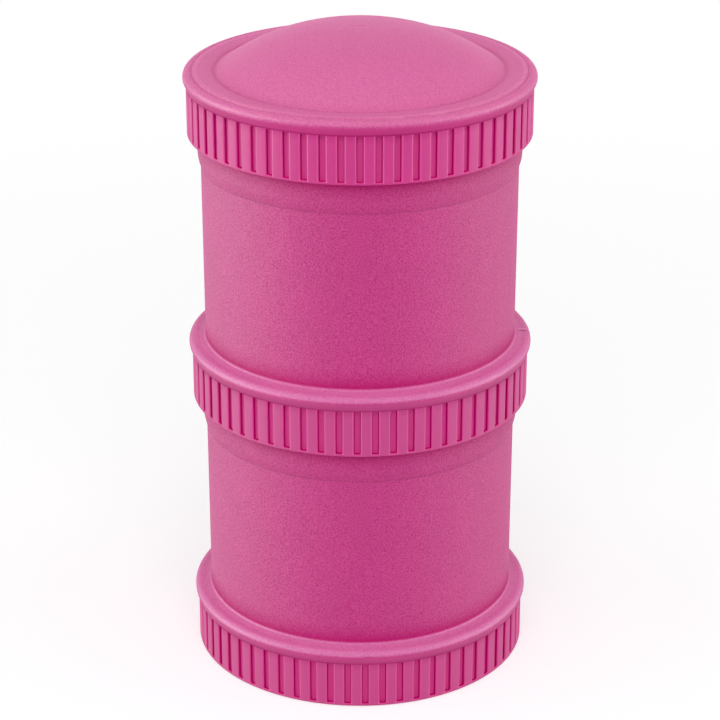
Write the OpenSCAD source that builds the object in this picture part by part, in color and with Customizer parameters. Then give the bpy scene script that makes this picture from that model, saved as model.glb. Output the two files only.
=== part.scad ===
// Stacking snack container: two identical screw-together pods and a domed screw lid.
// Origin: centre of the lowest ring's bottom edge. The stack's axis is +Z. Millimetres.

/* [Stack] */
// Diameter over the rounded bead of every ring
ring_d = 89; // [80:0.5:110]
// Height from one ring to the next, the working height of a pod
pod_pitch = 71.1; // [50:0.1:120]
// Turn of the lowest ring's grooves from the front, as a share of the rib pitch
lower_turn = 0.3; // [-0.5:0.05:0.5]
// Turn of the middle ring's grooves from the front, as a share of the rib pitch
upper_turn = -0.15; // [-0.5:0.05:0.5]
// Turn of the lid's grooves from the front, as a share of the rib pitch
lid_turn = 0; // [-0.5:0.05:0.5]

/* [Ring] */
// Height of the bead's widest line above the skirt's lower edge
skirt_h = 14.5; // [14:0.1:18]
// How far the bead stands out past the ribs
bead_overhang = 0.8; // [0.4:0.1:1.2]
// Radius of the bead's rounding
bead_round = 1.5; // [1:0.1:1.8]
// Height of the bead's undercut, from its widest line down to the ribs
bead_drop = 2; // [1.8:0.1:2.5]
// Number of grip ribs around a ring
rib_count = 60; // [24:1:72]
// Part of the rib pitch that is groove
groove_share = 0.36; // [0.2:0.02:0.5]
// Depth of the grooves between the ribs
groove_depth = 1; // [0.6:0.1:1.6]
// Height of the plain edge that closes the grooves at the bottom
groove_ledge = 0.5; // [0.5:0.1:1.5]
// Height of the plain edge between the grooves and the bead's undercut
groove_brow = 0.1; // [0.1:0.1:1]
// Wall of the skirt behind the grooves
skirt_wall = 1.7; // [1.2:0.1:2]
// Rounding of the skirt's lower outer edge
skirt_round = 0.4; // [0.2:0.1:0.4]
// Lead-in chamfer at the mouth of the skirt's bore
mouth_chamfer = 0.4; // [0.2:0.1:0.6]

/* [Pod] */
// Radial room for the threads between the neck and the bore around it
thread_room = 1.3; // [1:0.1:1.8]
// How far the neck goes up into the ring above, to its seat
seat_depth = 13.3; // [12:0.1:13.6]
// Wall of the neck, under its threads
neck_wall = 1.35; // [1.2:0.05:2]
// How far the shoulder stands out past the neck
shoulder_step = 1.45; // [1:0.05:1.6]
// Height of the straight band at the shoulder
shoulder_band = 5.6; // [2:0.1:8]
// Height of the cone under the shoulder's band
shoulder_cone = 2.5; // [1:0.1:5]
// How far the cone draws in to the cup wall
shoulder_draw = 0.75; // [0.3:0.05:1]
// Gap between the shoulder and the skirt that comes down over the neck
shoulder_gap = 0.3; // [0.2:0.05:1]
// How much narrower the cup is at its foot than under its shoulder
cup_draft = 0.2; // [0.1:0.05:1]
// Thickness of the cup's floor
floor_wall = 1.9; // [1.2:0.1:3]
// Radius of the corner between the floor and the inside wall
inside_round = 3; // [1:0.5:8]
// Depth of the trough in the ring's top, below the bead's top line
trough_depth = 0.5; // [0.2:0.1:0.8]
// Height of the cone that leads from the trough up to the cup's wall
trough_cone = 1.1; // [0.5:0.1:2]

/* [Lid] */
// Height of the lid's flat rim above the bead's widest line
rim_rise = 1.7; // [1.6:0.05:2.2]
// Gap between the end of the bead's rounding and the step up to the rim
rim_gap = 0.1; // [0.05:0.05:0.4]
// Width of the level part of the rim
rim_w = 1.15; // [0.8:0.05:3]
// Width of the shallow dish that sinks from the rim towards the dome
dish_w = 3.2; // [2:0.1:5]
// Depth of the dish at the dome's groove
dish_depth = 0.25; // [0.1:0.05:0.4]
// Width of the groove around the dome
dome_groove_w = 1.3; // [0.8:0.1:2]
// Depth of the groove around the dome, below the dish
dome_groove_depth = 0.3; // [0.1:0.05:0.5]
// Height of the dome above the dish
dome_h = 10.7; // [4:0.05:20]
// Fullness of the dome: 2 is a plain arc, more is flatter on top
dome_power = 2.3; // [2:0.02:3]
// Wall of the lid's top and dome
lid_wall = 1.9; // [1.2:0.1:2.4]
// How far the lid's seat land laps inside the neck
land_lap = 0.6; // [0.2:0.1:1]

/* [Hidden] */
$fn = 120;
corner_step = 15;
bead_start = -36;
bead_step = 12;
pod_bead_end = 96;
lid_bead_end = 120;
dish_steps = 5;
dome_steps = 14;
lip_round = 0.4;
cut_past = 1;
ring_r = ring_d / 2;
rib_r = ring_r - bead_overhang;
groove_r = rib_r - groove_depth;
bore_r = groove_r - skirt_wall;
groove_w = groove_share * 2 * PI * rib_r / rib_count;
groove_h = skirt_h - bead_drop - groove_brow - groove_ledge;
neck_r = bore_r - thread_room;
inside_top_r = neck_r - neck_wall;
inside_foot_r = inside_top_r - cup_draft;
shoulder_r = neck_r + shoulder_step;
cup_top_r = shoulder_r - shoulder_draw;
cup_foot_r = cup_top_r - cup_draft;
bead_top_z = skirt_h + bead_round;
trough_r = (ring_r - bead_round + cup_foot_r) / 2;
trough_z = bead_top_z - trough_depth;
floor_top_z = seat_depth + floor_wall;
shoulder_z = pod_pitch - shoulder_gap;
band_z = shoulder_z - shoulder_band;
cone_z = band_z - shoulder_cone;
neck_top_z = pod_pitch + seat_depth;
rim_z = skirt_h + rim_rise;
rim_r = ring_r - bead_round * (1 - cos(lid_bead_end)) - rim_gap;
dish_r = rim_r - rim_w;
dish_z = rim_z - dish_depth;
dome_foot_r = dish_r - dish_w - dome_groove_w;
lid_under_z = dish_z - lid_wall;
dome_under_r = dome_foot_r - lip_round;
land_r = inside_top_r - land_lap;
rib_pitch = 360 / rib_count;
front = -90;

// Points on an arc about [x, z], from angle a0 to a1, in steps of the angle step
function arc_points(x, z, r, a0, a1, step = corner_step) =
    [for (a = [a0:a1 > a0 ? step : -step:a1]) [x + r * cos(a), z + r * sin(a)]];

// Height of a dome of height h and foot radius r, at radius x
function dome_rise(h, r, x) = h * (1 - pow(x / r, dome_power));

// Half outline of a ring: up the bore's mouth, round the lower edge, up the ribs and round the bead
function skirt_outline(bead_end) = concat(
    [[bore_r, mouth_chamfer], [bore_r + mouth_chamfer, 0]],
    arc_points(rib_r - skirt_round, skirt_round, skirt_round, -90, 0),
    [[rib_r, skirt_h - bead_drop]],
    arc_points(ring_r - bead_round, skirt_h, bead_round, bead_start, bead_end, bead_step)
);

// Half outline of a pod, from the underside of its floor, round the outside and back down the inside
function pod_outline() = concat(
    [[0, seat_depth], [bore_r, seat_depth]],
    skirt_outline(pod_bead_end),
    [[trough_r, trough_z], [cup_foot_r, trough_z + trough_cone], [cup_top_r, cone_z]],
    [[shoulder_r, band_z], [shoulder_r, shoulder_z], [neck_r, shoulder_z]],
    arc_points(neck_r - lip_round, neck_top_z - lip_round, lip_round, 0, 90),
    arc_points(inside_top_r + lip_round, neck_top_z - lip_round, lip_round, 90, 180),
    arc_points(inside_foot_r - inside_round, floor_top_z + inside_round, inside_round, 0, -90),
    [[0, floor_top_z]]
);

// Half outline of the lid, from under its dome, round the ring and back over the dome
function lid_outline() = concat(
    [for (i = [0:dome_steps]) let (x = dome_under_r * i / dome_steps)
        [x, lid_under_z + dome_rise(dome_h, dome_under_r, x)]],
    [[land_r, lid_under_z], [land_r, seat_depth], [bore_r, seat_depth]],
    skirt_outline(lid_bead_end),
    [[rim_r, rim_z - lip_round], [rim_r, rim_z]],
    [for (i = [0:dish_steps]) let (share = i / dish_steps)
        [dish_r - dish_w * share, rim_z - dish_depth * pow(share, 2)]],
    [[dome_foot_r + dome_groove_w / 2, dish_z - dome_groove_depth]],
    [for (i = [dome_steps:-1:0]) let (x = dome_foot_r * i / dome_steps)
        [x, dish_z + dome_rise(dome_h, dome_foot_r, x)]]
);

// The grooves between the grip ribs, turned from the front by a share of the rib pitch
module rib_grooves(turn) {
    for (i = [0:rib_count - 1])
        rotate([0, 0, front + (i + turn) * rib_pitch])
            translate([groove_r, -groove_w / 2, groove_ledge])
                cube([groove_depth + cut_past, groove_w, groove_h]);
}

// One pod: a cup with a plain-walled neck above and a ribbed, bored ring below, in one moulding
module pod(turn) {
    difference() {
        rotate_extrude()
            polygon(pod_outline());
        rib_grooves(turn);
    }
}

module lower_pod() {
    color("hotpink")
        pod(lower_turn);
}

module upper_pod() {
    color("hotpink")
        translate([0, 0, pod_pitch])
            pod(upper_turn);
}

module lid() {
    color("hotpink")
        translate([0, 0, 2 * pod_pitch])
            difference() {
                rotate_extrude()
                    polygon(lid_outline());
                rib_grooves(lid_turn);
            }
}

lower_pod();
upper_pod();
lid();
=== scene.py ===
from math import ceil, cos, hypot, pi, radians, sin, tan

import bmesh
import bpy
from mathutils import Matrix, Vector


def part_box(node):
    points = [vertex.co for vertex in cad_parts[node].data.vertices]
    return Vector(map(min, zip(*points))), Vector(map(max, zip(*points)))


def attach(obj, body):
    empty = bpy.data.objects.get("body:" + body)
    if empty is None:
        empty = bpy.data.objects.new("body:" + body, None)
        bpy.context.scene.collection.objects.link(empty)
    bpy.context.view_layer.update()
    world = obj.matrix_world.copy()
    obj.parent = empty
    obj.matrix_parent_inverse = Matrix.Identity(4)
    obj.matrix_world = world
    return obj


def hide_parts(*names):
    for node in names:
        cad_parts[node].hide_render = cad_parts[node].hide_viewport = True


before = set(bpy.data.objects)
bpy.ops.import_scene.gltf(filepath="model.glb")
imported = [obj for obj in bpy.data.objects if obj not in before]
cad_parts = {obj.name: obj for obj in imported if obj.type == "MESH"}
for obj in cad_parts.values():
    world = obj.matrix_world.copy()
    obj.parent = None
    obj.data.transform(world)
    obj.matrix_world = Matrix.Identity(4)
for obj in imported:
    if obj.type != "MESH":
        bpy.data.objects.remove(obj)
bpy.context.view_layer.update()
print("frame loaded:", ", ".join(sorted(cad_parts)))

# sizes that the frame gives; the outlines are drawn in millimetres
mm = 0.001
lowerLow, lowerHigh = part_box("lower_pod")
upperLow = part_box("upper_pod")[0]
lidLow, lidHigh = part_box("lid")
beadR = (lidHigh.x - lidLow.x) / 2 / mm
podPitch = (upperLow.z - lowerLow.z) / mm
neckTop = (lowerHigh.z - lowerLow.z) / mm
domeTop = (lidHigh.z - lidLow.z) / mm
front = -pi / 2              # the side that faces the camera

# how finely the round forms are drawn
fineness = {
    "cornerStep": 15,        # degrees
    "beadStep": 12,          # degrees
    "axisR": 6,              # inside this radius a few columns are enough
    "roundShare": 0.48,      # the most of a line that the rounding of one of its ends takes
    "sharpAngle": 32,        # degrees, where the shading breaks
}

# the screw ring that both pods and the lid have at their foot; heights are above its lower edge
ring = {
    "beadHeight": 14.5,      # the bead's widest line
    "beadRound": 1.5,
    "beadStart": -36,        # degrees above the bead's widest line
    "satinEnd": -12,         # the satin goes this far round the bead
    "ribInset": 0.8,         # ribs behind the bead
    "ribTop": 12.3,          # where the bead's undercut starts
    "ribTopRound": 0.12,
    "browLine": 0.06,        # plain line below the undercut
    "undercutLean": (0.2, 0.72),                 # outward and up from the ribs' top
    "undercutMiddle": (0.18, 0.4),
    "ribCount": 60,
    "grooveShare": 0.36,     # of the rib pitch
    "grooveDepth": 1.0,
    "grooveLow": 0.5,
    "grooveHigh": 12.2,
    "ledgeLine": 0.05,       # plain line below the grooves
    "creaseRun": 2,          # down from the grooves' top, where the painted shade lines have faded out
    "runout": 0.3,           # rounding at both ends of a groove
    "ribEdge": 0.48,         # rounding of the ribs' edges
    "grooveCorner": 0.25,
    "sideDraft": 0.06,
    "boreInset": 3.5,
    "seatHeight": 13.3,
    "seatWidth": 3,
    "seatRound": 0.4,
    "mouthChamfer": 0.4,
    "mouthRound": 0.15,
    "lowerEdge": 0.4,
}
ribR = beadR - ring["ribInset"]
boreR = beadR - ring["boreInset"]
seat = ring["seatHeight"]
seatR = boreR - ring["seatWidth"]
ribPitch = 2 * pi * ribR / ring["ribCount"]


def plainRow(r, z, finish):
    # a row: radius, height, finish up to the next row, column set, how deep the grooves are there
    return (r, z, finish, "plain", 0)


def arcRows(centreR, centreZ, radius, startAngle, endAngle, finish):
    steps = ceil(abs(endAngle - startAngle) / fineness["beadStep"])
    turns = [radians(startAngle + (endAngle - startAngle) * k / steps) for k in range(steps + 1)]
    return [plainRow(centreR + radius * cos(a), centreZ + radius * sin(a), finish) for a in turns]


def softRows(corners):
    # each corner: radius, height, rounding, finish of the line that follows it
    rows = []
    for i, (r, z, soft, finish) in enumerate(corners):
        if soft == 0:
            rows.append(plainRow(r, z, finish))
            continue
        here = Vector((r, z))
        back = Vector(corners[i - 1][:2]) - here
        ahead = Vector(corners[i + 1][:2]) - here
        half = back.angle(ahead) / 2
        most = fineness["roundShare"]
        reach = min(soft / tan(half), most * back.length, most * ahead.length)
        radius = reach * tan(half)
        middle = (back.normalized() + ahead.normalized()).normalized()
        centre = here + middle * (radius / sin(half))
        firstSpoke = (here + back.normalized() * reach - centre).normalized()
        lastSpoke = (here + ahead.normalized() * reach - centre).normalized()
        steps = max(2, ceil((pi - 2 * half) / radians(fineness["cornerStep"])))
        for k in range(steps + 1):
            point = centre + firstSpoke.slerp(lastSpoke, k / steps) * radius
            side = finish if 2 * k >= steps else corners[i - 1][3]
            rows.append(plainRow(point.x, point.y, side))
    return rows


def grooveSection():
    # across a groove and a rib: distance from the groove's centre, share of its depth
    wide = ring["grooveShare"] * ribPitch / 2
    foot = wide - ring["sideDraft"]
    corner = ring["grooveCorner"]
    edge = ring["ribEdge"]
    deep = ring["grooveDepth"]
    bow = 1 - cos(pi / 4)
    half = [
        (0, 1),
        (foot - corner, 1),
        (foot - corner * bow, 1 - corner * bow / deep),
        (foot, 1 - corner / deep),
    ]
    for a in (0, pi / 6, pi / 3, pi / 2):
        half.append((wide + edge * (1 - cos(a)), edge * (1 - sin(a)) / deep))
    half.append((ribPitch / 2, 0))
    return half + [(ribPitch - d, share) for d, share in half[-2:0:-1]]


section = grooveSection()
# which columns of the section a row has
columnSets = {"few": [0], "plain": [0, 4, 8, 12], "fine": list(range(len(section)))}


def ribRows():
    # up a groove, with a rounded run-out at both ends
    low, high, runout = ring["grooveLow"], ring["grooveHigh"], ring["runout"]
    turns = [k / 4 * pi / 2 for k in range(5)]
    rows = [(ribR, low + runout * (1 - cos(a)), "satin", "fine", sin(a)) for a in turns]
    rows.append((ribR, high - ring["creaseRun"], "satin", "fine", 1))
    rows += [(ribR, high - runout * (1 - cos(a)), "satin", "fine", sin(a)) for a in reversed(turns)]
    return rows


def ringRows(beadEnd, beadFinish):
    # from the seat down the bore, round the lower edge, up the ribs and round the bead
    mouth, bead, ribTop = ring["mouthChamfer"], ring["beadRound"], ring["ribTop"]
    leanR, leanZ = ring["undercutLean"]
    middleR, middleZ = ring["undercutMiddle"]
    rows = softRows([
        (seatR, seat, 0, "satin"),
        (boreR, seat, ring["seatRound"], "satin"),
        (boreR, mouth, ring["mouthRound"], "satin"),
        (boreR + mouth, 0, ring["mouthRound"], "satin"),
        (ribR, 0, ring["lowerEdge"], "satin"),
        (ribR, ring["grooveLow"] - ring["ledgeLine"], 0, "satin"),
    ])[1:]
    rows += ribRows()
    rows += softRows([
        (ribR, ribTop - ring["browLine"], 0, "satin"),
        (ribR, ribTop, ring["ribTopRound"], "satin"),
        (ribR + leanR, ribTop + leanZ, 0, "satin"),
    ])[:-1]
    rows.append(plainRow(ribR + middleR, ribTop + middleZ, "satin"))
    start, change = ring["beadStart"], ring["satinEnd"]
    rows += arcRows(beadR - bead, ring["beadHeight"], bead, start, change, "satin")[:-1]
    rows += arcRows(beadR - bead, ring["beadHeight"], bead, change, beadEnd, beadFinish)
    return rows


def creaseAt(creases, r, z):
    # how strongly a fine line of painted shade marks this corner; a line of painted highlight, below zero,
    # goes before a darker one
    shades = []
    for lineR, lineZ, reach, strength in creases:
        shades.append(strength * max(0, 1 - hypot(r - lineR, z - lineZ) / reach))
    return min(shades) if min(shades) < 0 else max(shades)


def stitch(bm, loop, nextLoop, slot):
    # faces between two loops; a face takes in several columns of the denser loop, or ends at the axis
    few, many = sorted((loop, nextLoop), key=len)
    columns = list(many)
    place = {column: n for n, column in enumerate(columns)}
    ends = columns if len(few) == 1 else list(few)
    for n, column in enumerate(ends):
        after = ends[(n + 1) % len(ends)]
        span = (place[after] - place[column]) % len(columns)
        run = [many[columns[(place[column] + j) % len(columns)]] for j in range(span + 1)]
        tip = [few[0]] if len(few) == 1 else [few[after], few[column]]
        face = bm.faces.new(tip + run)
        face.material_index = slot
        face.smooth = True


# the order of a piece's finishes; the lid has no bead finish of its own
finishOrder = ("pebble", "satin", "bead")


def revolve(rows, turn, base, creases):
    # one closed skin: rows from the axis underneath, round the outside, to the axis again
    bm = bmesh.new()
    hollow = bm.verts.layers.float.new("hollow")
    creaseShading = bm.verts.layers.float.new("creaseShading")
    loops = []
    for r, z, finish, columns, flute in rows:
        if r == 0:
            loops.append({0: bm.verts.new((0, 0, base + z * mm))})
            continue
        columns = "few" if r < fineness["axisR"] else columns
        near = creaseAt(creases, r, z)
        loop = {}
        for rib in range(ring["ribCount"]):
            for k in columnSets[columns]:
                along, share = section[k]
                angle = front + ((rib + turn) * ribPitch + along) / ribR
                radius = (r - ring["grooveDepth"] * share * flute) * mm
                corner = bm.verts.new((radius * cos(angle), radius * sin(angle), base + z * mm))
                corner[hollow] = share * flute
                corner[creaseShading] = near
                loop[rib * len(section) + k] = corner
        loops.append(loop)
    for row, loop, nextLoop in zip(rows, loops, loops[1:]):
        stitch(bm, loop, nextLoop, finishOrder.index(row[2]))
    bmesh.ops.recalc_face_normals(bm, faces=bm.faces)
    return bm


# screw thread: two starts, right-handed; the ridges on a neck and in a bore run between each other
thread = {
    "starts": 2,
    "lead": 8.0,
    "turns": 0.85,
    "foot": 2.0,
    "crest": 0.8,
    "crestRound": 0.15,
    "sunk": 0.3,             # how far a ridge's foot stands in the wall
    "neckInset": 4.8,        # the neck's wall behind the bead
    "neckHeight": 3.8,       # start above the ring's lower edge
    "neckRise": 0.85,
    "boreHeight": 1.8,
    "boreRise": 0.9,
    "fade": 22,              # degrees
    "endWidth": 0.4,         # share of the width that is left at both ends
    "from": 20,              # degrees from the front
    "stepsPerTurn": 120,
}
neckR = beadR - thread["neckInset"]


def ridgeShape():
    # across a ridge: share of its rise, distance from its middle
    foot, crest, soft = thread["foot"] / 2, thread["crest"] / 2, thread["crestRound"]
    half = [
        (-thread["sunk"], foot),
        (0, foot),
        (0.75, crest + soft),
        (0.95, crest + 0.02),
        (1, crest - soft),
    ]
    return half + [(up, -across) for up, across in reversed(half)]


def addThread(bm, wallR, rise, height, base):
    # a ridge whose rise is outward, or inward where it is negative
    shape = ridgeShape()
    sunk = -thread["sunk"]
    way = 1 if rise > 0 else -1
    steps = int(thread["stepsPerTurn"] * thread["turns"])
    whole = 360 * thread["turns"]
    for start in range(thread["starts"]):
        loops = []
        for k in range(steps + 1):
            swept = whole * k / steps
            fade = sin(min(1, swept / thread["fade"], (whole - swept) / thread["fade"]) * pi / 2)
            angle = front + radians(thread["from"] + 360 * start / thread["starts"] + swept)
            z = height + thread["lead"] * swept / 360
            narrowed = thread["endWidth"] + (1 - thread["endWidth"]) * fade
            loop = []
            for up, across in shape:
                lift = sunk if up == sunk else up * fade + sunk / 2 * (1 - fade)
                radius = (wallR + way * lift * (abs(rise) if lift > 0 else 1)) * mm
                point = (radius * cos(angle), radius * sin(angle), base + (z + across * narrowed) * mm)
                loop.append(bm.verts.new(point))
            loops.append(loop)
        faces = [bm.faces.new(loops[0]), bm.faces.new(loops[-1])]
        for near, far in zip(loops, loops[1:]):
            for j in range(len(shape)):
                faces.append(bm.faces.new((near[j - 1], near[j], far[j], far[j - 1])))
        bmesh.ops.recalc_face_normals(bm, faces=faces)
        for face in faces:
            face.material_index = finishOrder.index("satin")
            face.smooth = True


def finishPiece(name, bm, body, node, finishes):
    mesh = bpy.data.meshes.new(name)
    bm.to_mesh(mesh)
    bm.free()
    mesh.set_sharp_from_angle(angle=radians(fineness["sharpAngle"]))
    piece = bpy.data.objects.new(name, mesh)
    bpy.context.collection.objects.link(piece)
    for finish in finishes:
        mesh.materials.append(finish)
    shading = piece.modifiers.new("even shading", "WEIGHTED_NORMAL")
    shading.keep_sharp = True
    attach(piece, body)
    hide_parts(node)
    print("made", name, "with", len(mesh.polygons), "faces")


# small node makers; a tree is the node tree that they add to
def feed(tree, value, socket):
    # another node's output is linked, a plain value is set
    if isinstance(value, bpy.types.NodeSocket):
        tree.links.new(value, socket)
    else:
        socket.default_value = value


def mixColours(tree, share, first, second, way="MIX"):
    mix = tree.nodes.new("ShaderNodeMix")
    mix.data_type = "RGBA"
    mix.blend_type = way
    feed(tree, share, mix.inputs["Factor"])
    feed(tree, first, mix.inputs["A"])
    feed(tree, second, mix.inputs["B"])
    return mix.outputs["Result"]


def mixShaders(tree, share, first, second):
    mix = tree.nodes.new("ShaderNodeMixShader")
    tree.links.new(share, mix.inputs["Fac"])
    tree.links.new(first, mix.inputs[1])
    tree.links.new(second, mix.inputs[2])
    return mix.outputs[0]


def remap(tree, value, low, high, toLow=0, toHigh=1, smooth=False):
    scale = tree.nodes.new("ShaderNodeMapRange")
    if smooth:
        scale.interpolation_type = "SMOOTHSTEP"
    scale.inputs["From Min"].default_value = low
    scale.inputs["From Max"].default_value = high
    scale.inputs["To Min"].default_value = toLow
    scale.inputs["To Max"].default_value = toHigh
    tree.links.new(value, scale.inputs["Value"])
    return scale.outputs["Result"]


def calculate(tree, operation, first, second):
    step = tree.nodes.new("ShaderNodeMath")
    step.operation = operation
    feed(tree, first, step.inputs[0])
    feed(tree, second, step.inputs[1])
    return step.outputs[0]


def lengthOf(tree, vector):
    away = tree.nodes.new("ShaderNodeVectorMath")
    away.operation = "LENGTH"
    tree.links.new(vector, away.inputs[0])
    return away.outputs["Value"]


def rampOver(tree, value, stops):
    # stops run from low to high: position, colour
    ramp = tree.nodes.new("ShaderNodeValToRGB")
    elements = ramp.color_ramp.elements
    elements[0].position, elements[0].color = stops[0]
    elements[1].position, elements[1].color = stops[1]
    for position, colour in stops[2:]:
        elements.new(position).color = colour
    tree.links.new(value, ramp.inputs["Fac"])
    return ramp.outputs["Color"]


def noiseOver(tree, place, scale, detail, roughness=0.5):
    noise = tree.nodes.new("ShaderNodeTexNoise")
    noise.inputs["Scale"].default_value = scale
    noise.inputs["Detail"].default_value = detail
    noise.inputs["Roughness"].default_value = roughness
    tree.links.new(place, noise.inputs["Vector"])
    return noise.outputs["Fac"]


def vertexValue(tree, name):
    stored = tree.nodes.new("ShaderNodeAttribute")
    stored.attribute_name = name
    return stored.outputs["Fac"]


def addBump(tree, skin, grain, height):
    bump = tree.nodes.new("ShaderNodeBump")
    bump.inputs["Strength"].default_value = 1
    bump.inputs["Distance"].default_value = height * mm
    tree.links.new(grain, bump.inputs["Height"])
    tree.links.new(bump.outputs["Normal"], skin.inputs["Normal"])


# coloured polyethylene straight from the mould: pebbled walls and tops, satin ribs, necks and insides
plastic = {
    "podPebble": (0.625, 0.013, 0.235, 1),
    "podBead": (0.68, 0.035, 0.27, 1),
    "lidPebble": (0.70, 0.040, 0.29, 1),
    "podSatin": (0.69, 0.055, 0.285, 1),
    "lidSatin": (0.725, 0.026, 0.276, 1),
    "pebblePaintedSheen": (0.75, 0.120, 0.365, 1),      # painted sheen: paler where the surface faces up, as light from above leaves it
    "satinPaintedSheen": (0.775, 0.152, 0.43, 1),       # the same painted sheen on the satin and the bead
    "shaded": (0.58, 0.001, 0.18, 1),            # painted shade close under a ring, where the colour lights itself
    "ribEdge": (0.88, 0.085, 0.39, 1),           # a painted highlight on the thin edges of the ribs, as light that spreads in them
    "grooveSideShade": (0.54, 0.002, 0.18, 1),        # painted shade, where light bounces in the colour there
    # painted shade on the groove's floor, paler than on its sides
    "grooveFloorShade": (0.76, 0.006, 0.28, 1),
    "podCreaseShade": (0.80, 0.62, 0.74, 1),          # painted shade in the creases, which multiplies the colour
    "lidCreaseShade": (0.88, 0.72, 0.82, 1),
    "beadCreaseShade": (0.88, 0.72, 0.89, 1),
    "ribCreaseShade": (0.76, 0.50, 0.70, 1),
    "paintedEdgeHighlight": (0.86, 0.19, 0.46, 1),           # painted highlight, where an edge catches the light
    "noiseRange": (0.3, 0.7),                    # from a noise's lowest patches to its highest
    "paler": 1.06,           # how much the pigment varies
    "palerGreen": 1.05,      # how much more its green does
    "pebblePigment": 90,     # per metre, how fast it varies
    "satinPigment": 70,
    "paintedSheenFull": 0.4,        # how far a surface faces up where the painted sheen is whole
    "shadeReach": 6,         # millimetres
    "shadeRange": (0.58, 0.97),                  # open share around a point, from shaded to clear
    "podRough": 0.74,
    "lidRough": 0.62,
    "satinRough": 0.62,
    "podSpecular": 0.97,
    "lidSpecular": 0.69,
    "satinSpecular": 0.64,
    "beadSpecular": 0.7,
    "ior": 1.5,
    "pebbleGrain": 2900,     # per metre
    "pebbleDetail": 2,
    "pebbleFineness": 0.55,
    "pebbleHeight": 0.1,     # millimetres
    "pebbleShadeContrast": 0.115,
    "pebbleSheen": 0.55,     # how much the sheen varies with the pebble
    "pebbleRoughSpread": 0.07,
    "satinGrain": 5200,
    "satinHeight": 0.006,
    "satinPatches": 160,     # per metre, where the satin is more or less worn
    "satinRoughSpread": 0.06,
}


def newMaterial(name):
    material = bpy.data.materials.new(name)
    material.use_nodes = True
    tree = material.node_tree
    skin = tree.nodes["Principled BSDF"]
    skin.inputs["IOR"].default_value = plastic["ior"]
    return material, tree, skin, tree.nodes.new("ShaderNodeTexCoord").outputs["Object"]


def pigment(tree, place, colour, scale):
    # slow, faint variation of the colour
    red, green, blue = (part * plastic["paler"] for part in colour[:3])
    pale = (min(1, red), green * plastic["palerGreen"], blue, 1)
    low, high = plastic["noiseRange"]
    return rampOver(tree, noiseOver(tree, place, scale, 3), [(low, colour), (high, pale)])


def paintSheenOnTop(tree, colour, paintedSheen):
    # painted sheen: a paler colour on what faces up, where light from above falls
    facing = tree.nodes.new("ShaderNodeSeparateXYZ")
    tree.links.new(tree.nodes.new("ShaderNodeTexCoord").outputs["Normal"], facing.inputs[0])
    share = remap(tree, facing.outputs["Z"], 0, plastic["paintedSheenFull"], smooth=True)
    return mixColours(tree, share, colour, paintedSheen)


def paintCreaseLight(tree, tone, creaseShading):
    # painted shade makes fine creases a little darker and stronger in colour, and a painted highlight makes
    # fine edges paler
    near = vertexValue(tree, "creaseShading")
    tone = mixColours(tree, near, tone, creaseShading, "MULTIPLY")
    return mixColours(tree, calculate(tree, "MULTIPLY", near, -1), tone, plastic["paintedEdgeHighlight"])


def addMarks(tree, place, tone, marks):
    # small traces of use, and painted shade and a painted highlight beside the line where the mould parts;
    # each fades from half of its size outward
    for turn, radius, height, size, share, colour in marks:
        angle = front + radians(turn)
        centre = (radius * cos(angle), radius * sin(angle), height)
        spot = tree.nodes.new("ShaderNodeMapping")
        spot.vector_type = "TEXTURE"
        spot.inputs["Location"].default_value = [along * mm for along in centre]
        spot.inputs["Rotation"].default_value = (0, 0, angle)
        spot.inputs["Scale"].default_value = [half * mm for half in size]
        tree.links.new(place, spot.inputs["Vector"])
        fade = remap(tree, lengthOf(tree, spot.outputs["Vector"]), 1, 0.5, 0, share)
        tone = mixColours(tree, fade, tone, colour)
    return tone


def paintGrooveLight(tree, skin, tone, specular):
    # painted light by depth: a painted highlight on the rib edges, crimson painted shade without gloss on the
    # sides, a clearer floor
    depth = vertexValue(tree, "hollow")
    side, floor = plastic["grooveSideShade"], plastic["grooveFloorShade"]
    paintedByDepth = rampOver(tree, depth, [(0.3, plastic["ribEdge"]), (0.5, side), (0.85, side), (0.97, floor)])
    tone = mixColours(tree, remap(tree, depth, 0, 0.05), tone, paintedByDepth)
    tree.links.new(tone, skin.inputs["Base Color"])
    dull, bright = (0, 0, 0, 1), (1, 1, 1, 1)
    onRib = (specular, specular, specular, 1)
    gloss = rampOver(tree, depth, [(0.2, onRib), (0.45, dull), (0.88, dull), (0.98, bright)])
    clear = remap(tree, vertexValue(tree, "creaseShading"), 0, 1, 1, 0)          # painted shade: no sheen on the crease lines above the ribs
    tree.links.new(calculate(tree, "MULTIPLY", gloss, clear), skin.inputs["Specular IOR Level"])


def shadeTint(tree, skin, tone, gloss):
    # painted shade: right under a ring or beside a bead the colour darkens and the surface loses its pale
    # sheen
    near = tree.nodes.new("ShaderNodeAmbientOcclusion")
    near.samples = 6
    near.inputs["Distance"].default_value = plastic["shadeReach"] * mm
    openShare = remap(tree, near.outputs["AO"], *plastic["shadeRange"])
    tone = mixColours(tree, openShare, plastic["shaded"], tone)
    tree.links.new(tone, skin.inputs["Base Color"])
    tree.links.new(calculate(tree, "MULTIPLY", openShare, gloss), skin.inputs["Specular IOR Level"])


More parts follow.
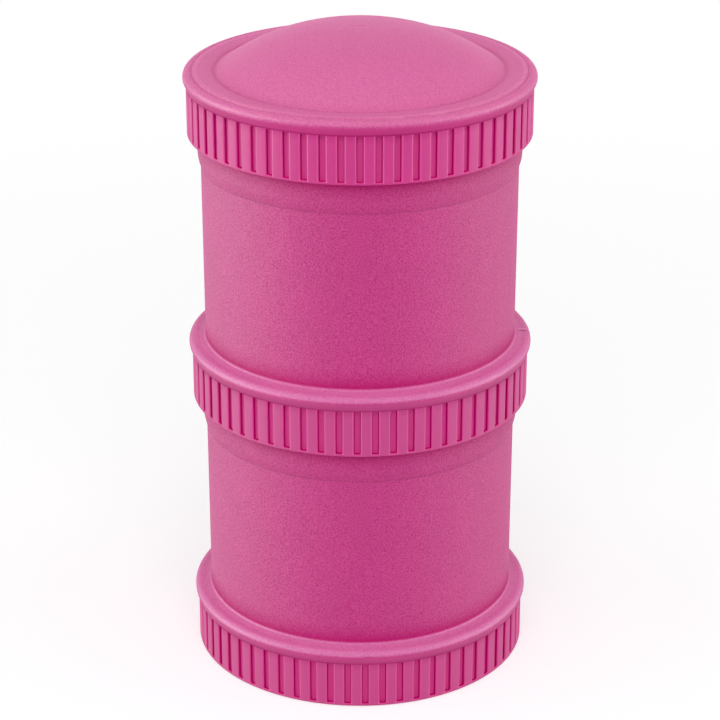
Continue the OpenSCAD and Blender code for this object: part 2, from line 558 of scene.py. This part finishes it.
def pebblePlastic(name, colour, paintedSheen, roughness, specular, creaseShading, marks, shaded):
    # the pebble's hollows get painted shade, darker and duller, and its tops a painted highlight, paler and
    # brighter
    material, tree, skin, place = newMaterial(name)
    low, high = plastic["noiseRange"]
    contrast, sheen, spread = plastic["pebbleShadeContrast"], plastic["pebbleSheen"], plastic["pebbleRoughSpread"]
    grain = noiseOver(tree, place, plastic["pebbleGrain"], plastic["pebbleDetail"], plastic["pebbleFineness"])
    addBump(tree, skin, grain, plastic["pebbleHeight"])
    tone = paintSheenOnTop(tree, pigment(tree, place, colour, plastic["pebblePigment"]), paintedSheen)
    tone = paintCreaseLight(tree, tone, creaseShading)
    # painted shade in the pebble's hollows and paler painted tops, following the bump
    tone = mixColours(tree, 1, tone, remap(tree, grain, low, high, 1 - contrast, 1 + contrast), "MULTIPLY")
    tone = addMarks(tree, place, tone, marks)
    gloss = remap(tree, grain, low, high, specular * (1 - sheen), specular * (1 + sheen))
    if shaded:
        shadeTint(tree, skin, tone, gloss)
    else:
        tree.links.new(tone, skin.inputs["Base Color"])
        tree.links.new(gloss, skin.inputs["Specular IOR Level"])
    rough = remap(tree, grain, 0, 1, roughness - spread, roughness + spread)
    tree.links.new(rough, skin.inputs["Roughness"])
    return material


def satinPlastic(name, colour):
    material, tree, skin, place = newMaterial(name)
    roughness, spread = plastic["satinRough"], plastic["satinRoughSpread"]
    addBump(tree, skin, noiseOver(tree, place, plastic["satinGrain"], 1), plastic["satinHeight"])
    tone = paintSheenOnTop(tree, pigment(tree, place, colour, plastic["satinPigment"]), plastic["satinPaintedSheen"])
    tone = paintCreaseLight(tree, tone, plastic["ribCreaseShade"])
    paintGrooveLight(tree, skin, tone, plastic["satinSpecular"])
    patches = noiseOver(tree, place, plastic["satinPatches"], 4)
    rough = remap(tree, patches, 0, 1, roughness - spread, roughness + spread)
    tree.links.new(rough, skin.inputs["Roughness"])
    return material


# each mark: degrees to the right of the front, radius, height,
# half sizes outward, along and up, strength, colour
marks = {
    "cup": [
        (46.5, 40.4, 106.3, (0.5, 0.3, 0.3), 0.6, (0.40, 0.01, 0.12, 1)),
        (14.5, 40.4, 53.7, (0.5, 0.3, 0.25), 0.5, (0.42, 0.01, 0.13, 1)),
        (-1.7, 40.2, 92.3, (0.5, 0.28, 0.25), 0.5, (0.40, 0.01, 0.12, 1)),
    ],
    "ring": [
        (3, 44.5, 14.75, (1.2, 1.7, 0.3), 0.6, (0.56, 0.02, 0.14, 1)),
        # painted shade and a painted highlight of the parting line's step
        (90, 42.7, podPitch + 15.7, (2.2, 0.6, 1.2), 0.85, (0.46, 0.03, 0.18, 1)),
        (91.6, 42.7, podPitch + 15.7, (2.0, 0.6, 1.2), 0.6, (0.88, 0.36, 0.58, 1)),
    ],
    "lid": [
        (12, 42, 2 * podPitch + 16.1, (0.4, 2.8, 0.4), 0.42, (0.86, 0.26, 0.50, 1)),
        (26.5, 42, 2 * podPitch + 16.1, (0.4, 4.2, 0.4), 0.42, (0.86, 0.26, 0.50, 1)),
    ],
}

podPebble = pebblePlastic(
    "pod pebble finish", plastic["podPebble"], plastic["pebblePaintedSheen"], plastic["podRough"],
    plastic["podSpecular"], plastic["podCreaseShade"], marks["cup"], True)
podBead = pebblePlastic(
    "pod bead finish", plastic["podBead"], plastic["satinPaintedSheen"], plastic["satinRough"],
    plastic["beadSpecular"], plastic["beadCreaseShade"], marks["ring"], False)
podSatin = satinPlastic("pod satin finish", plastic["podSatin"])
lidPebble = pebblePlastic(
    "lid pebble finish", plastic["lidPebble"], plastic["pebblePaintedSheen"], plastic["lidRough"],
    plastic["lidSpecular"], plastic["lidCreaseShade"], marks["lid"], False)
lidSatin = satinPlastic("lid satin finish", plastic["lidSatin"])
print("plastic finishes ready")

# fine lines of painted shade: radius, height, reach and strength, which is negative where a line is a paler
# painted highlight
ribCreases = [
    (ribR, ring["ribTop"] + 0.05, 0.45, 1),
    (ribR, ring["ribTop"], 2.1, 0.4),
]

# a pod: cup, shoulder and neck above its ring
pod = {
    "lowerTurn": 0.3,        # of the grooves from the front, as a share of the rib pitch
    "upperTurn": -0.15,
    "beadEnd": 96,           # degrees above the bead's widest line
    "troughLead": (1.9, 1.46),                   # inward from the bead's widest line, and up
    "troughHeight": 15.97,   # lowest line between the wall and the bead
    "troughInset": 2.7,
    "troughRound": 2.0,
    "wallFoot": 16.42,       # where the pebbled wall starts
    "wallFootRound": 0.9,
    "wallFootLean": 0.02,
    "coveLine": (0.7, 0.2, 1.1, 0.45),           # painted shade in the cove: outward and down from the wall's foot, reach, strength
    "cupFootInset": 4.3,
    "cupTopInset": 4.1,
    "coneLine": 0.36,        # reach of the fine line at the cone's foot, and of its painted shade
    "wallLean": 0.002,       # over that reach
    "coneHeight": 2.5,
    "coneRound": 9,
    "bandHeight": 5.6,
    "shoulderInset": 3.35,
    "shoulderGap": 0.3,
    "shoulderRound": 0.3,
    "neckWall": 1.35,
    "lip": 0.55,
    "draft": 0.2,
    "insideRound": 3.0,
    "floorWall": 1.9,
    "floorLine": 12,         # radius of a plain line under the floor
    "gateDimple": 1.9,       # radius of the dimple under the floor
    "gateSlope": 0.4,
    "gateDepth": 0.3,
    "gatePip": (0.45, 0.62, 0.2),                # radius at its tip and foot, height
}
cupFootR = beadR - pod["cupFootInset"]
cupTopR = beadR - pod["cupTopInset"]
shoulderZ = podPitch - pod["shoulderGap"]
bandZ = shoulderZ - pod["bandHeight"]
coneZ = bandZ - pod["coneHeight"]


def podRows():
    shoulderR = beadR - pod["shoulderInset"]
    insideTopR = neckR - pod["neckWall"]
    insideFootR = insideTopR - pod["draft"]
    floorZ = seat + pod["floorWall"]
    dimpleR, dimpleZ = pod["gateDimple"], seat + pod["gateDepth"]
    pipR, pipFootR, pipHeight = pod["gatePip"]
    leadR, leadZ = pod["troughLead"]
    line = pod["coneLine"]
    lean = (shoulderR - cupTopR) / pod["coneHeight"]
    rows = softRows([
        (0, dimpleZ - pipHeight, 0, "satin"),
        (pipR, dimpleZ - pipHeight, 0.12, "satin"),
        (pipFootR, dimpleZ, 0.15, "satin"),
        (dimpleR, dimpleZ, 0.3, "satin"),
        (dimpleR + pod["gateSlope"], seat, 0.3, "satin"),
        (pod["floorLine"], seat, 0, "satin"),
        (seatR, seat, 0, "satin"),
    ])[:-1]
    rows += ringRows(pod["beadEnd"], "bead")
    rows += softRows([
        (beadR - leadR, ring["beadHeight"] + leadZ, 0, "bead"),
        (beadR - pod["troughInset"], pod["troughHeight"], pod["troughRound"], "bead"),
        (cupFootR + pod["wallFootLean"], pod["wallFoot"], pod["wallFootRound"], "pebble"),
        (cupTopR - pod["wallLean"], coneZ - line, 0, "pebble"),
        (cupTopR, coneZ, 0.1, "pebble"),
        (cupTopR + lean * line, coneZ + line, 0, "pebble"),
        (shoulderR, bandZ, pod["coneRound"], "pebble"),
        (shoulderR, shoulderZ, pod["shoulderRound"], "satin"),
        (neckR, shoulderZ, pod["shoulderRound"], "satin"),
        (neckR, neckTop, pod["lip"], "satin"),
        (insideTopR, neckTop, pod["lip"], "satin"),
        (insideFootR, floorZ, pod["insideRound"], "satin"),
        (fineness["axisR"], floorZ, 0, "satin"),
        (0, floorZ, 0, "satin"),
    ])[1:]
    return rows


def makePod(name, node, turn, low):
    outward, down, reach, strength = pod["coveLine"]
    # painted shade along the cone's foot and in the cove
    creases = ribCreases + [
        (cupTopR, coneZ, pod["coneLine"], 1),
        (cupFootR + outward, pod["wallFoot"] - down, reach, strength),
    ]
    bm = revolve(podRows(), turn, low.z, creases)
    addThread(bm, neckR, thread["neckRise"], podPitch + thread["neckHeight"], low.z)
    addThread(bm, boreR, -thread["boreRise"], thread["boreHeight"], low.z)
    finishPiece(name, bm, node, node, [podPebble, podSatin, podBead])


makePod("lowerPodMoulding", "lower_pod", pod["lowerTurn"], lowerLow)
makePod("upperPodMoulding", "upper_pod", pod["upperTurn"], upperLow)

# the lid's top
cap = {
    "turn": 0,
    "beadEnd": 120,
    "rimHeight": 16.2,
    "rimInset": 2.35,
    "rimWidth": 1.15,        # level part
    "rimMiddle": 0.9,        # inward from the rim's edge
    "rimEdge": 0.22,
    "rimLine": (0.75, 0.75, -0.8),               # a painted highlight: inward from the rim's edge, reach, strength
    "riserLead": (0.2, 0.06),                    # outward and up from the riser's foot, towards the bead
    "riserFoot": 15.78,
    "riserRound": 0.16,
    "riserSlope": 0.2,
    "riserLine": (0.1, 0.42),                    # painted shade: up from its foot, reach
    "dishWidth": 3.8,        # sinks from the rim towards the dome
    "dishDepth": 0.25,
    "dishSteps": 8,
    "dishLead": (0.6, 0.08),                     # outward and up from the dish's foot, towards the rim
    "grooveWidth": 1.3,      # around the dome
    "grooveDepth": 0.3,
    "grooveLine": 1.4,       # reach of the painted shade in the groove around the dome
    "domePower": 2.38,
    "domeSteps": 20,
    "domeJoin": 0.95,        # share of the dome's radius that the rounding of its foot leads to
    "domeFrom": 0.93,        # share of it where the dome's own rows start
    "wall": 1.9,
    "underInset": 0.4,
    "underSteps": 15,
    "landLap": 0.6,
    "gateDimple": 0.8,
    "gateSlope": 0.2,
    "gateDepth": 0.1,
    "gatePip": (0.4, 0.52, 0.09),                # radius at its tip and foot, height
}
rimZ = cap["rimHeight"]
rimR = beadR - cap["rimInset"]
dishR = rimR - cap["rimWidth"]
dishFootR = dishR - cap["dishWidth"]
dishZ = rimZ - cap["dishDepth"]
domeGrooveR = dishFootR - cap["grooveWidth"] / 2
domeGrooveZ = dishZ - cap["grooveDepth"]
domeR = dishFootR - cap["grooveWidth"]


def domeRise(share):
    # above the dome's foot, at a share of its radius
    return (domeTop - dishZ) * (1 - share ** cap["domePower"])


def underRows():
    # from the middle under the dome out to the seat
    underR, underZ = domeR - cap["underInset"], dishZ - cap["wall"]
    landR = neckR - pod["neckWall"] - cap["landLap"]
    shares = [k / cap["underSteps"] for k in range(cap["underSteps"])]
    rows = [plainRow(underR * share, underZ + domeRise(share), "satin") for share in shares]
    return rows + softRows([
        (underR * shares[-1], underZ + domeRise(shares[-1]), 0, "satin"),
        (underR, underZ, 0.8, "satin"),
        (landR, underZ, 0.3, "satin"),
        (landR, seat, 0.3, "satin"),
        (seatR, seat, 0, "satin"),
    ])[1:-1]


def lidRows():
    riserLeadR, riserLeadZ = cap["riserLead"]
    dishLeadR, dishLeadZ = cap["dishLead"]
    rows = underRows() + ringRows(cap["beadEnd"], "pebble")
    rows += softRows([
        (rimR + riserLeadR, cap["riserFoot"] + riserLeadZ, 0, "pebble"),
        (rimR, cap["riserFoot"], cap["riserRound"], "pebble"),
        (rimR - cap["riserSlope"], rimZ, cap["rimEdge"], "pebble"),
        (rimR - cap["rimMiddle"], rimZ, 0, "pebble"),
    ])[1:]
    for k in range(cap["dishSteps"]):
        share = k / cap["dishSteps"]
        sunk = cap["dishDepth"] * share ** 2
        rows.append(plainRow(dishR - cap["dishWidth"] * share, rimZ - sunk, "pebble"))
    join = cap["domeJoin"]
    rows += softRows([
        (dishFootR + dishLeadR, dishZ + dishLeadZ, 0, "pebble"),
        (dishFootR, dishZ, 0.8, "pebble"),
        (domeGrooveR, domeGrooveZ, 0.5, "pebble"),
        (domeR, dishZ, 0.6, "pebble"),
        (domeR * join, dishZ + domeRise(join), 0, "pebble"),
    ])[1:]
    dimpleR, dimpleZ = cap["gateDimple"], domeTop - cap["gateDepth"]
    pipR, pipFootR, pipHeight = cap["gatePip"]
    first, last = cap["domeFrom"], dimpleR / domeR
    for k in range(cap["domeSteps"] + 1):
        share = first - (first - last) * k / cap["domeSteps"]
        rows.append(plainRow(domeR * share, dishZ + domeRise(share), "pebble"))
    return rows + softRows([
        (dimpleR, domeTop, 0, "pebble"),
        (dimpleR - cap["gateSlope"], dimpleZ, 0.1, "pebble"),
        (pipFootR, dimpleZ, 0.08, "satin"),
        (pipR, dimpleZ + pipHeight, 0.08, "satin"),
        (0, dimpleZ + pipHeight, 0, "satin"),
    ])[1:]


def makeLid():
    inward, rimReach, strength = cap["rimLine"]
    up, riserReach = cap["riserLine"]
    # painted shade in the dome's groove and at the riser, and a painted highlight on the rim
    creases = ribCreases + [
        (domeGrooveR, domeGrooveZ, cap["grooveLine"], 1),
        (rimR, cap["riserFoot"] + up, riserReach, 1),
        (rimR - inward, rimZ, rimReach, strength),
    ]
    bm = revolve(lidRows(), cap["turn"], lidLow.z, creases)
    addThread(bm, boreR, -thread["boreRise"], thread["boreHeight"], lidLow.z)
    finishPiece("lidMoulding", bm, "lid", "lid", [lidPebble, lidSatin])


makeLid()

# camera where the photograph was taken from
shot = {
    "place": (0, -0.6289, 0.3463),
    "tilt": 66.95,           # degrees up from straight down
    "lens": 130.29,
    "sensor": 36,
}


def placeCamera():
    lens = bpy.data.cameras.new("camera")
    lens.lens = shot["lens"]
    lens.sensor_width = shot["sensor"]
    lens.clip_start = 0.01
    camera = bpy.data.objects.new("camera", lens)
    camera.location = shot["place"]
    camera.rotation_euler = (radians(shot["tilt"]), 0, 0)
    bpy.context.collection.objects.link(camera)
    bpy.context.scene.camera = camera


# soft lamps above and around the stack; the sheen lamps stand for bright surroundings and give gloss only
softboxes = {
    "top": {"watts": 6.9, "size": 1.4, "place": (0, -0.25, 1.5), "glossOnly": False},
    "front": {"watts": 5.7, "size": 1.0, "place": (0, -1.0, 1.1), "glossOnly": False},
    "left": {"watts": 4.0, "size": 1.0, "place": (-1.3, 0, 0.2), "glossOnly": False},
    "right": {"watts": 3.8, "size": 1.0, "place": (1.3, 0, 0.2), "glossOnly": False},
    "left front": {"watts": 2.0, "size": 0.9, "place": (-1.1, -0.7, 0.3), "glossOnly": False},
    "right front": {"watts": 1.1, "size": 0.9, "place": (1.1, -0.7, 0.3), "glossOnly": False},
    "back": {"watts": 1.9, "size": 1.0, "place": (0, 1.25, 0.12), "glossOnly": False},
    "left sheen": {"watts": 35, "size": 1.0, "place": (-1.31, 0, 0.2), "glossOnly": True},
    "right sheen": {"watts": 21, "size": 1.0, "place": (1.31, 0, 0.2), "glossOnly": True},
}

studio = {
    "aim": (0, 0, 0.08),     # where the lamps point
    "worldLight": 0.2,
    "floorR": 4,
    "floorDrop": 0.0002,     # under the stack's foot
    "floorGlow": 0.56,       # of the floor's white as the camera sees it
    "floorTone": 0.62,
    "floorLit": 0.8,         # as it lights the stack
    "floorFade": (0.15, 0.5),                    # from the stack out to plain white
}


def addSoftbox(side, choice):
    lamp = bpy.data.lights.new(side + " softbox", "AREA")
    lamp.shape = "DISK"
    lamp.size = choice["size"]
    lamp.energy = choice["watts"]
    box = bpy.data.objects.new(side + " softbox", lamp)
    box.location = choice["place"]
    aim = Vector(studio["aim"]) - box.location
    box.rotation_euler = aim.to_track_quat("-Z", "Y").to_euler()
    box.visible_diffuse = not choice["glossOnly"]
    bpy.context.collection.objects.link(box)


def seenRays(tree):
    # 1 for camera, glossy and transmission rays, 0 for the light that reaches surfaces
    path = tree.nodes.new("ShaderNodeLightPath")
    seen = calculate(tree, "MAXIMUM", path.outputs["Is Camera Ray"], path.outputs["Is Glossy Ray"])
    return calculate(tree, "MAXIMUM", seen, path.outputs["Is Transmission Ray"])


def lightStudio():
    for side, choice in softboxes.items():
        addSoftbox(side, choice)
    world = bpy.data.worlds.new("white studio")
    world.use_nodes = True
    tree = world.node_tree
    lit = tree.nodes["Background"]
    lit.inputs["Color"].default_value = (1, 1, 1, 1)
    lit.inputs["Strength"].default_value = studio["worldLight"]
    seen = tree.nodes.new("ShaderNodeBackground")
    seen.inputs["Color"].default_value = (1, 1, 1, 1)
    seen.inputs["Strength"].default_value = 1
    white = mixShaders(tree, seenRays(tree), lit.outputs[0], seen.outputs[0])
    tree.links.new(white, tree.nodes["World Output"].inputs["Surface"])
    bpy.context.scene.world = world


def greyPaint(tree, grey):
    paint = tree.nodes.new("ShaderNodeBsdfDiffuse")
    paint.inputs["Color"].default_value = (grey, grey, grey, 1)
    return paint.outputs[0]


def whiteGlow(tree, strength):
    glow = tree.nodes.new("ShaderNodeEmission")
    glow.inputs["Strength"].default_value = strength
    return glow.outputs[0]


def floorFinish():
    # seen, it is white with a faint shadow and merges with the backdrop; from below it is clear
    material = bpy.data.materials.new("white floor")
    material.use_nodes = True
    tree = material.node_tree
    tree.nodes.clear()
    add = tree.nodes.new("ShaderNodeAddShader")
    tree.links.new(greyPaint(tree, studio["floorTone"]), add.inputs[0])
    tree.links.new(whiteGlow(tree, studio["floorGlow"]), add.inputs[1])
    away = lengthOf(tree, tree.nodes.new("ShaderNodeTexCoord").outputs["Object"])
    fade = remap(tree, away, *studio["floorFade"], smooth=True)
    seen = mixShaders(tree, fade, add.outputs[0], whiteGlow(tree, 1))
    surface = mixShaders(tree, seenRays(tree), greyPaint(tree, studio["floorLit"]), seen)
    below = tree.nodes.new("ShaderNodeNewGeometry").outputs["Backfacing"]
    clear = tree.nodes.new("ShaderNodeBsdfTransparent").outputs[0]
    out = tree.nodes.new("ShaderNodeOutputMaterial")
    tree.links.new(mixShaders(tree, below, surface, clear), out.inputs["Surface"])
    return material


def layFloor():
    bm = bmesh.new()
    bmesh.ops.create_circle(bm, cap_ends=True, cap_tris=True, segments=96, radius=studio["floorR"])
    mesh = bpy.data.meshes.new("studioFloor")
    bm.to_mesh(mesh)
    bm.free()
    mesh.materials.append(floorFinish())
    floor = bpy.data.objects.new("studioFloor", mesh)
    floor.location.z = -studio["floorDrop"]
    bpy.context.collection.objects.link(floor)


placeCamera()
lightStudio()
layFloor()
bpy.context.scene.view_settings.view_transform = "Standard"
print("studio ready")

bpy.context.view_layer.update()
